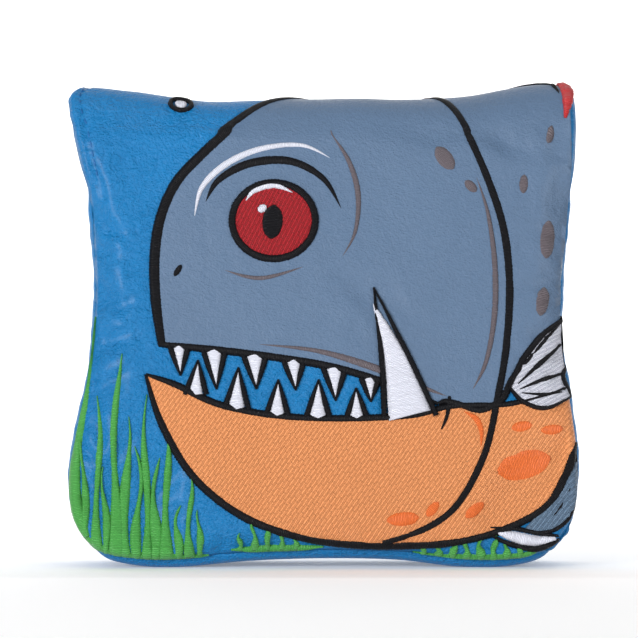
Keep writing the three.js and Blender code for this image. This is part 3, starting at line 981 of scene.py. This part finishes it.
# a pointed tooth from its root at the gum; a negative length hangs down
def tooth(x, l, wide, length, lean=0.0, **more):
    return {"points": [(x, l, wide), (x + lean * 0.4, l + length * 0.5, wide * 0.56), (x + lean, l + length, 0.2)],
            **more}


def ring(x, l, radius, wide, squash=1.0, **more):
    points = [(x + radius * math.cos(k * math.pi / 6), l + radius * squash * math.sin(k * math.pi / 6), wide)
              for k in range(12)]
    return {"points": points, "closed": True, **more}


# a closed outline from runs, each taken in turn
def outlineOf(*lines):
    points = []
    for line in lines:
        dense = Route(line["points"], line.get("closed", False)).points[:-1:3]
        points += [tuple(p[:2]) for p in dense]
    return points


print("cloth and filled stitching")
art = {
    "cloth": 0.55,       # how proud each layer stands of the leather
    "fill": 0.6,
    "eye": {"x": -13.5, "l": 94.0, "radius": 11.2, "squash": 0.92},
    "tusk": (23.4, 31.0, 12.6, -9.8),   # X, length, width and lean
}
headLine = run((-43.6, 60.5, 2.6), (-45.2, 72, 3.3), (-45.6, 84, 3.4), (-44.0, 95, 3.3), (-39.8, 104.5, 3.3),
               (-33, 112, 3.2), (-25.5, 119, 3.0), (-17, 127, 2.8), (-6, 136, 2.6), (7, 145, 2.4), (17, 156, 2.4),
               (23, 172, 2.2), (28, 190, 1.0))
gumLine = run((-44.6, 60.6, 1.6), (-34, 59.6, 2.3), (-18, 57.8, 2.4), (2, 54.6, 2.4), (18, 49.8, 2.2),
              (31, 44.5, 1.0))
jawLine = run((-48, 52.4, 0.9), (-40, 49.6, 2.2), (-28, 44.2, 2.3), (-12, 41.2, 2.2), (6, 40.5, 2.2), (24, 41.4, 2.2),
              (33, 43.6, 2.0), (40, 44.1, 1.9), (50, 44.4, 1.8), (60, 46.8, 1.7), (66.2, 49.0, 1.0))
keelLine = run((68.0, 34, 1.0), (65.2, 25.5, 2.0), (60, 17, 2.3), (50, 11.2, 2.4), (38, 7.8, 2.4), (24, 6.6, 2.4),
               (8, 6.8, 2.4), (-8, 9.2, 2.5), (-22.5, 14.8, 2.5), (-35, 25, 2.5), (-43.5, 39, 2.4), (-48, 52.4, 1.0))
cheekLine = run((64.6, 67.4, 0.9), (57, 58.4, 2.1), (51, 51.2, 2.3), (48, 45.6, 2.3), (42.5, 42.8, 2.3),
                (37, 44.2, 2.2), (33, 45.2, 1.8), (31, 44.6, 1.0))
finTop = run((50.2, 49, 1.4), (54, 56.6, 2.1), (60, 63.8, 2.0), (65.6, 68.0, 0.7), top=1.5)
finEdge = [run((65.6, 68.0, 0.6), (65, 61.5, 1.3), (66.4, 55.8, 0.8), top=1.5),
           run((66.4, 55.8, 0.7), (64.2, 52, 1.3), (66.6, 46.4, 0.8), top=1.5)]
finLow = run((66.6, 46.4, 0.8), (60, 43.3, 1.5), (54, 45, 1.5), (50.2, 49, 0.9), top=1.5)
tailTop = run((51, 11.6, 0.7), (58, 15.0, 1.6), (63, 20, 1.6), (66.2, 26, 1.5), (68, 33, 0.8))
tailLow = run((68, 33, 0.3), (68.4, 24, 0.5), (67.4, 16.4, 0.8), (64, 11.4, 1.4), (58, 9.8, 1.5), (51, 11.6, 0.7))
flapRim = run((28, 190, 1), (36, 195, 1), (46, 195.6, 1), (55, 190, 1), (61, 178, 1), (63.4, 160, 1), (66, 142, 1),
              (67, 128, 1), (67.4, 112, 1), (66.4, 96, 1), (65.2, 80, 1), (64.6, 67.4, 1))
eye = art["eye"]
eyeLine = ring(eye["x"], eye["l"], eye["radius"], 2.3, eye["squash"], top=1.5, edge=0.3)
turned = run(*reversed(gumLine["points"]))
bodyPatch = fillPatch("body_leather_applique", outlineOf(headLine, flapRim, cheekLine, turned), slateBlue,
                      art["cloth"], 0.6)
bellyPatch = fillBetween("belly_thread_fill", jawLine["points"], keelLine["points"][::-1], orangeFill, art["fill"],
                         0.65, angle=0.95)
eyePatch = fillPatch("eye_thread_fill", outlineOf(eyeLine), redFill, 1.0, 0.5, angle=1.1, cell=1.5)
finPatch = fillPatch("side_fin_thread_fill", outlineOf(finTop, *finEdge, finLow), whiteFill, 0.95, 0.5, angle=0.5,
                     cell=1.5)
tailPatch = fillPatch("tail_thread_fill", outlineOf(tailTop, tailLow), steelFill, 0.75, 0.7, angle=0.9, cell=1.5)


print("satin stitching")
blackLines = [
    headLine, gumLine, jawLine, keelLine, cheekLine, eyeLine, finTop, *finEdge, finLow, tailTop, tailLow,
    run((22, 146, 1.6), (30, 134, 2.3), (37.5, 121, 2.4), (44, 107, 2.6), (48.8, 92, 2.7), (50.4, 76, 2.7),
        (49.4, 60, 2.6), (47, 46, 2.5), (43.4, 31, 2.5), (36, 17.4, 2.4), (27, 10.8, 2.2), (16, 7.4, 1.6)),
    run((34, 46.5, 1.2), (33.4, 41.5, 1.4), (31.8, 37.6, 0.7)),
    run((51, 135.6, 0.4), (57, 134.6, 1.5), (62, 132.6, 1.7), (64.4, 127, 0.6)),
    run((44, 9.8, 0.7), (50, 6.8, 1.5), (57, 5.4, 1.6), (64, 7.6, 0.9)),
    run((45, 11.2, 0.7), (52, 10.8, 1.3), (58, 9.6, 1.4), (63.4, 8.8, 0.8)),
    run((-32, 99, 0.3), (-28.5, 105, 2.2), (-20, 109.6, 3.0), (-9, 110.2, 2.8), (0, 105.4, 2.0), (5, 97, 0.3)),
    spot(-13.8, 93.6, 9.2, 6.6, 1.5, top=1.5, edge=0.7),
    spot(-39.4, 80.5, 3.8, 2.0, 1.0),
    run((52.5, 49.8, 0.4), (58, 55, 1.5), (63.6, 60.4, 0.8), top=1.4, edge=0.6),
    run((53, 48.4, 0.4), (59, 50.8, 1.4), (64, 52.4, 0.9), top=1.4, edge=0.6),
    run((53.5, 47.4, 0.4), (59, 47, 1.0), (64, 47.6, 0.4), top=1.4, edge=0.6),
    run((60, 12.6, 0.4), (64, 16.6, 1.0), (66.6, 22, 0.4)),
    ring(-39, 127, 2.9, 1.4),
]
jawHeights = Route(jawLine["points"]).points
gumHeights = Route(gumLine["points"]).points


def heightAt(points, x):
    return min(points, key=lambda p: abs(p[0] - x))[1]


tuskAt, tuskLong, tuskWide, tuskLean = art["tusk"]
teeth = [(x, heightAt(gumHeights, x), wide, -long, lean) for x, wide, long, lean in (
    (-39, 4.6, 7.2, 0.4), (-29.5, 5.6, 9.6, 0.6), (-18.5, 5.8, 8.4, 0.4), (-8, 5.2, 7.4, 0.5), (3, 5.6, 8.0, 0.3),
    (12.6, 4.4, 5.8, 0.2))]
teeth += [(x, heightAt(jawHeights, x), wide, long, lean) for x, wide, long, lean in (
    (-34.5, 5.2, 8.4, 0.6), (-23.5, 6.0, 10.2, 0.5), (-12.5, 5.6, 8.8, 0.3), (-1.5, 6.0, 9.4, 0.2),
    (9.0, 5.2, 7.4, -0.2), (tuskAt, tuskWide, tuskLong, tuskLean))]
for x, l, wide, length, lean in teeth:
    proud = {"top": 1.0} if length < 20 else {"top": 1.7, "edge": 0.6}   # the tusk lies over the gum
    for hand in (-1, 1):
        halfway = (x + lean * 0.4 + hand * wide * 0.3, l + length * 0.5, 1.6)
        blackLines.append(run((x + hand * wide * 0.56, l, 1.5), halfway, (x + lean, l + length * 1.12, 0.5), **proud))
whiteLines = [tooth(x, l, wide - 0.8, length * 0.97, lean, top=1.0) for x, l, wide, length, lean in teeth[:-1]] + [
    tooth(*teeth[-1][:2], teeth[-1][2] - 0.8, teeth[-1][3] * 0.97, teeth[-1][4], top=1.6, edge=0.9),
    run((-35, 95, 0.3), (-33, 103, 1.8), (-26.5, 109.4, 2.3), (-17, 113.6, 2.0), (-6, 114.6, 1.4), (2, 111, 0.3)),
    run((-21, 99.4, 0.3), (-18.6, 102.2, 1.6), (-13.4, 103.6, 1.8), (-8.4, 101.6, 0.3), top=1.5, edge=0.8),
    spot(-16.6, 97.2, 2.6, 2.1, 0.6, top=1.9, edge=1.2),
    spot(-39, 127, 3.2, 3.6, 0.0, top=0.8),
    run((46, 10.2, 0.6), (51, 8.8, 3.0), (57, 7.5, 3.2), (62.6, 8.2, 0.9)),
]
taupeLines = [
    run((41.5, 106, 0.3), (44.6, 96, 1.3), (46.4, 82, 1.9), (46.2, 68, 1.9), (44, 56, 1.5), (40.4, 48.5, 0.4)),
    run((-18, 60.6, 0.3), (-2, 58.8, 1.6), (12, 54.8, 2.6), (24, 50.0, 2.0), (33, 46.6, 0.4)),
    run((2, 118, 0.3), (7, 110, 1.6), (9.4, 101, 1.9), (8.6, 91, 1.2), (5, 84, 0.3)),
    run((-27, 80.6, 0.3), (-17, 78.4, 1.5), (-5, 81.6, 0.3)),
    spot(33, 111, 7.4, 5.6, -0.9),
    spot(40.0, 103.4, 4.2, 3.2, -0.8),
    spot(54.4, 104, 5.2, 3.2, 1.5),
    spot(61.6, 117, 3.8, 2.6, 1.2),
    spot(60.6, 89, 10.4, 5.2, 1.5),
    spot(59.2, 72, 7.6, 4.4, 1.4),
    spot(36, 156, 9.0, 6.0, 0.6),
    spot(50, 166, 7.0, 5.0, 1.0),
    spot(40, 176, 4.4, 3.4, 0.3),
]
amberLines = [
    spot(54, 28.0, 14.8, 9.4, 0.25), spot(53.5, 38.4, 5.6, 3.4, 0.2), spot(61.6, 37.6, 6.0, 3.2, 0.1),
    spot(40.6, 16.0, 6.2, 3.4, 0.7), spot(21.4, 13.6, 8.8, 4.4, 0.1), spot(29.4, 16.2, 5.0, 3.0, 0.9),
    run((38, 42.4, 0.3), (41.2, 40.4, 1.8), (42.6, 37.0, 1.5), (42.4, 33, 0.3)),
]
for stitch in amberLines:
    stitch.update(top=0.95, edge=0.3)


def frond(x, l, high, wide, sway, bend):
    points = []
    for k in range(9):
        t = k / 8
        swing = sway * math.sin(t * math.pi * 1.7 + bend) * t * 1.6
        points.append((x + swing, l + high * t, wide * (1 - t) ** 0.75 * (1 + 0.35 * math.sin(t * 9 + x)) + 0.25))
    return {"points": points, "top": 0.8}


greenLines = [frond(*blade) for blade in [
    (-64.6, 7, 31, 2.2, 0.8, 0.2), (-61.2, 4.6, 42, 2.6, -0.8, 1.0), (-58.8, 3.6, 24, 2.4, 0.9, 0.4),
    (-55.8, 3.0, 55, 3.6, 1.0, 2.0), (-53.4, 3.0, 38, 3.4, -0.9, 0.3), (-50.4, 3.0, 30, 2.6, -1.2, 1.2),
    (-47.6, 3.0, 44, 2.8, 0.8, 0.9), (-45.2, 3.0, 27, 3.4, 0.9, 1.8), (-42.4, 3.0, 36, 3.2, -0.6, 0.5),
    (-39.0, 3.2, 14, 2.4, 0.9, 1.4), (-36.2, 3.6, 22, 2.3, -0.7, 0.5), (-33.4, 4.0, 12, 2.0, 0.5, 0.1),
    (-22.4, 5.2, 4.6, 1.6, 0.5, 0.8), (-18.6, 5.4, 7.6, 1.7, 0.6, 0.3), (-15.0, 5.4, 9.0, 1.8, -0.5, 1.0),
    (-11.2, 5.6, 5.4, 1.7, 0.3, 0.3), (-7.4, 5.6, 3.4, 1.6, 0.4, 0.6),
    (27, 3.6, 3.6, 2.0, 0.5, 0.3), (31, 3.2, 4.0, 2.2, 0.5, 0.3), (35, 2.8, 5.0, 2.4, -0.6, 1.0),
    (38.6, 2.8, 5.6, 2.2, 0.5, 0.6), (42.4, 2.6, 5.8, 2.5, 0.6, 1.5), (46, 2.6, 6.6, 2.4, -0.6, 0.4),
    (49.4, 2.8, 5.0, 2.2, 0.4, 0.4), (53, 3.2, 3.4, 2.0, 0.3, 0.2),
]]
greenLines += [
    run((-64.4, 8.5, 2.8), (-67.4, 20, 4.2), (-67.4, 32, 4.0), (-65.2, 45, 3.0), (-63.6, 57, 2.0), (-62.6, 68, 0.5),
        top=0.8),
    run((-66, 8.5, 3.0), (-59, 4.4, 3.4), (-50, 2.8, 3.4), (-40, 2.8, 3.0), (-31, 3.6, 0.6), top=0.7),
    run((-25, 5.2, 0.4), (-17, 5.4, 2.0), (-8, 5.6, 1.8), (0, 6.0, 0.4), top=0.7),
    run((24, 4.0, 0.4), (33, 2.8, 2.6), (44, 2.6, 3.0), (53, 3.4, 2.0), (59, 5.4, 0.4), top=0.7),
]
coralLines = []
for x, l, turn, long in [(-40, 186, 1.9, 26), (-33, 188, 1.5, 30), (-25, 189, 1.1, 22), (-46, 184, 2.2, 15)]:
    c, s = math.cos(turn), math.sin(turn)
    coralLines.append(run((x, l, 3.4), (x + c * long * 0.4 + 1.2, l - s * long * 0.4, 2.8),
                          (x + c * long * 0.75 - 1.0, l - s * long * 0.75, 2.2), (x + c * long, l - s * long, 0.6),
                          top=0.8))
    coralLines.append(run((x + c * long * 0.4, l - s * long * 0.4, 2.0),
                          (x + c * long * 0.6 + 4.0, l - s * long * 0.62, 1.6),
                          (x + c * long * 0.7 + 5.0, l - s * long * 0.85, 0.4), top=0.8))
coralLines.append(run((66.0, 120.5, 0.9), (66.6, 126, 3.2), (66.0, 133, 3.8), (64.6, 141, 3.2), (63.2, 150, 0.9),
                      top=1.3, edge=0.3))
blackStitch = satinPiece("black_outline_stitching", blackSatin, blackLines)
whiteStitch = satinPiece("teeth_and_highlight_stitching", whiteSatin, whiteLines)
taupeStitch = satinPiece("shadow_and_spot_stitching", taupeSatin, taupeLines)
amberStitch = satinPiece("belly_spot_stitching", amberSatin, amberLines)
greenStitch = satinPiece("seaweed_stitching", greenSatin, greenLines)
coralStitch = satinPiece("coral_stitching", redSatin, coralLines)

print("edge stitching")
seam = {"pitch": 2.6, "long": 2.0, "wide": 0.5, "high": 0.42, "inset": 3.2, "thread": 0.08}


# thread dashes along a line of X and L, sunk in the valley that they pull in the leather
def dashes(bm, points):
    route = Route(points)
    count = int(route.length / seam["pitch"])
    for k in range(count):
        t = (k + 0.5) / count
        here = route.at(t)
        point, normal = leatherGrid.at(here.x, here.y)
        ahead = route.at(t + 0.25 / route.length)
        forward = (leatherGrid.at(ahead.x, ahead.y)[0] - point).normalized()
        across = normal.cross(forward).normalized()
        frameOf = Matrix((forward, across, forward.cross(across))).transposed().to_4x4()
        frameOf.translation = (point + normal * seam["thread"]) * mm
        size = Matrix.Diagonal((seam["long"] / 2 * mm, seam["wide"] / 2 * mm, seam["high"] / 2 * mm, 1))
        bmesh.ops.create_uvsphere(bm, u_segments=8, v_segments=6, radius=1, matrix=frameOf @ size)


def edgeLine(hand):
    inset, route = seam["inset"], rightSide if hand > 0 else leftSide
    front = [(hand * (route.at(l / foldZ).x * hand - inset - 1.4), l) for l in (106, 112, 117.5)]
    fold = [(hand * (foldHalf(hand, k / 6) - inset), foldZ + foldLength * k / 6) for k in range(1, 6)]
    back = [(hand * (half - inset), foldZ + foldLength + drop)
            for half, drop in ((65, 1), (63.8, 13), (62.4, 26), (61.6, 38), (60.2, 47))]
    return front + fold + back


bm = bmesh.new()
for hand in (-1, 1):
    dashes(bm, edgeLine(hand))
low = foldZ + foldLength + foldZ
dashes(bm, [(-54.6, low - 67.4), (-50, low - 65.4), (-44, low - 64.8), (0, low - 64.4), (44, low - 64.8),
            (50, low - 65.4), (54.6, low - 67.4)])
edgeThread = finishMesh("flap_edge_stitching", bm, deepBlueThread)

crease = {"lean": math.radians(15), "zone": 3.0}
creaseTop = Vector((0, frontY(foldZ), foldZ))
creaseWay = Vector((0, math.cos(crease["lean"]), math.sin(crease["lean"])))


# the crease zone of a layer, a deeper layer's further along, so that the layers would keep their order as the flap
# opens; it is worked out but not used, and nothing bends: the piece's transform is baked and the given parts are
# hidden
def bendsAtCrease(piece, slotName, *nodes, depth=0.0):
    middle = creaseTop + creaseWay * depth * math.cos(crease["lean"])
    low, high = (middle + creaseWay * crease["zone"] * side for side in (-0.5, 0.5))
    tuple(low * mm)
    tuple(high * mm)
    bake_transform(piece)
    if nodes:
        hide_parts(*nodes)


def ridesOn(piece, body, slotName, *nodes):
    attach(piece, body)
    if nodes:
        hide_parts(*nodes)


bendsAtCrease(coverSkin, "sky_leather", "front_panel", "flap_panel")
ridesOn(gussetBand, "pouch", "sky_leather", "gusset_band")
ridesOn(backPanel, "pouch", "sky_leather", "back_panel")
bendsAtCrease(bodyPatch, "slate_leather", "body_applique")
ridesOn(bellyPatch, "pouch", "orange_thread", "belly_embroidery")
ridesOn(eyePatch, "pouch", "red_thread", "eye_embroidery")
ridesOn(finPatch, "pouch", "white_thread", "side_fin_embroidery")
ridesOn(tailPatch, "pouch", "steel_thread")
bendsAtCrease(blackStitch, "black_thread", "gill_embroidery")
bendsAtCrease(whiteStitch, "white_thread", "upper_teeth_embroidery", "lower_teeth_embroidery")
bendsAtCrease(taupeStitch, "black_thread")
ridesOn(amberStitch, "pouch", "orange_thread")
ridesOn(greenStitch, "pouch", "green_thread", "seaweed_embroidery")
bendsAtCrease(coralStitch, "red_thread", "flap_coral_embroidery")
bendsAtCrease(edgeThread, "sky_leather", "flap_topstitch")
ridesOn(frontFoam, "pouch", "foam_padding", "front_padding")
ridesOn(flapFoam, "flap", "foam_padding", "flap_padding")
ridesOn(backFoam, "pouch", "foam_padding", "back_padding")
ridesOn(gussetFoam, "pouch", "foam_padding", "gusset_padding")
bendsAtCrease(frontLining, "plush_lining", "front_lining", "flap_lining", depth=layers["creaseFace"])
ridesOn(backLining, "pouch", "plush_lining", "back_lining")
ridesOn(gussetLining, "pouch", "plush_lining", "gusset_lining")
ridesOn(mouthTape, "pouch", "sky_leather", "mouth_hem")
ridesOn(rightTape, "pouch", "sky_leather", "gusset_hem_right")
ridesOn(leftTape, "pouch", "sky_leather", "gusset_hem_left")

magnets = [f"{wall}_magnet_{hand}" for wall in ("back", "flap") for hand in ("left", "right")]
for node in (*magnets, "care_label"):
    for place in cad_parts[node].material_slots:
        place.material = plateNickel if node in magnets else labelSatin


def softLight(name, place, aim, size, power):
    data = bpy.data.lights.new(name, "AREA")
    data.shape = "RECTANGLE"
    data.size, data.size_y = size
    data.energy = power
    lamp = bpy.data.objects.new(name, data)
    lamp.location = place
    lamp.rotation_euler = (Vector(aim) - Vector(place)).to_track_quat("-Z", "Y").to_euler()
    bpy.context.collection.objects.link(lamp)


print("stage and camera")
studio = {"flat": 1.5, "curve": 0.9, "wall": 3.0, "half": 4.0, "world": 0.3}
bm = bmesh.new()
bmesh.ops.create_grid(bm, x_segments=8, y_segments=60, size=0.5)
arc = studio["curve"] * math.pi / 2
sweepLength = studio["half"] + studio["flat"] + arc + studio["wall"]
for v in bm.verts:
    way = (v.co.y + 0.5) * sweepLength - studio["half"]
    turn = min(max((way - studio["flat"]) / studio["curve"], 0), math.pi / 2)
    rise = max(way - studio["flat"] - arc, 0)
    v.co = (v.co.x * 2 * studio["half"], min(way, studio["flat"]) + studio["curve"] * math.sin(turn),
            studio["curve"] * (1 - math.cos(turn)) + rise)
bm.normal_update()
floorLook = Shader("paleFloor", Roughness=0.9, Emission_Color=(1, 1, 1, 1), Emission_Strength=0.2)
speckle = floorLook.node("ShaderNodeTexNoise", None, {"Vector": floorLook.place(), "Scale": 4.0, "Detail": 2.0})
floorLook.set(Base_Color=floorLook.mix(speckle * 0.3, (0.9, 0.9, 0.9), (0.87, 0.87, 0.88)))
floor = finishMesh("studio_floor", bm, floorLook.material)

world = bpy.data.worlds.new("paleStudio")
world.use_nodes = True
glow = world.node_tree.nodes["Background"]
glow.inputs["Color"].default_value = (1, 1, 1, 1)
glow.inputs["Strength"].default_value = studio["world"]
bpy.context.scene.world = world
bpy.context.scene.view_settings.view_transform = "Standard"
softLight("keyLeft", (-0.75, -1.0, 0.22), (0, 0, 0.05), (0.4, 0.4), 16)
softLight("fillRight", (0.9, -0.9, 0.2), (0, 0, 0.06), (0.7, 0.6), 8)
softLight("topSoft", (0.1, -0.3, 1.1), (0, 0, 0.04), (0.8, 0.6), 0.5)
softLight("wallWash", (0.0, 0.55, 1.5), (0, 2.4, 0.5), (2.4, 0.6), 55)

cameraSpot = {"distance": 1.1, "height": 67.4, "aside": -1.2, "lens": 226.09495297805645}
data = bpy.data.cameras.new("view")
data.lens = cameraSpot["lens"]
data.clip_end = 20
camera = bpy.data.objects.new("view", data)
camera.location = (cameraSpot["aside"] * mm, -cameraSpot["distance"], cameraSpot["height"] * mm)
camera.rotation_euler = (math.radians(90), 0, 0)
bpy.context.collection.objects.link(camera)
bpy.context.scene.camera = camera
